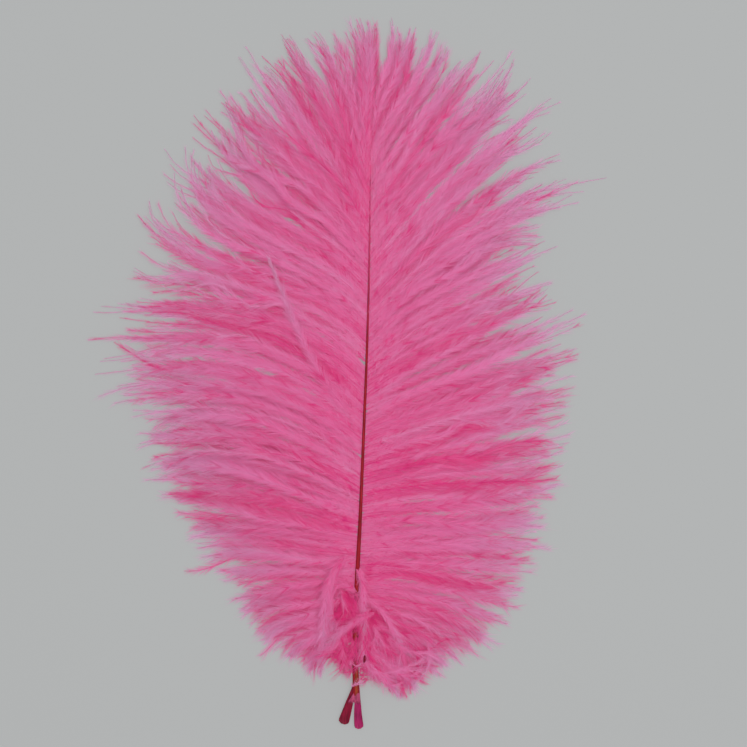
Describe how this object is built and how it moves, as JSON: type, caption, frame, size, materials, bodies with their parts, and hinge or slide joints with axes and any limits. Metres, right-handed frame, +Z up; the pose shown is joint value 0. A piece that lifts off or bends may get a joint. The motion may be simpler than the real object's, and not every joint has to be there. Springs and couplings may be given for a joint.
{
  "type": "ostrich feather",
  "caption": "Dyed pink ostrich plume lying flat: a slender tapering shaft with a split quill end and two soft, wide vanes of loose drooping barbs.",
  "frame": {"origin": "on the surface the feather lies on, in the middle of its footprint", "axes": "+Y along the shaft from the quill end to the tip, +Z up from the surface"},
  "size_m": [0.1786, 0.2472, 0.0128],
  "materials": {
    "plume": "soft, matt, dyed barbs",
    "shaft": "dyed keratin, smooth with a slight gloss"
  },
  "bodies": {
    "root": {"feather": "plume"}
  },
  "joints": []
}
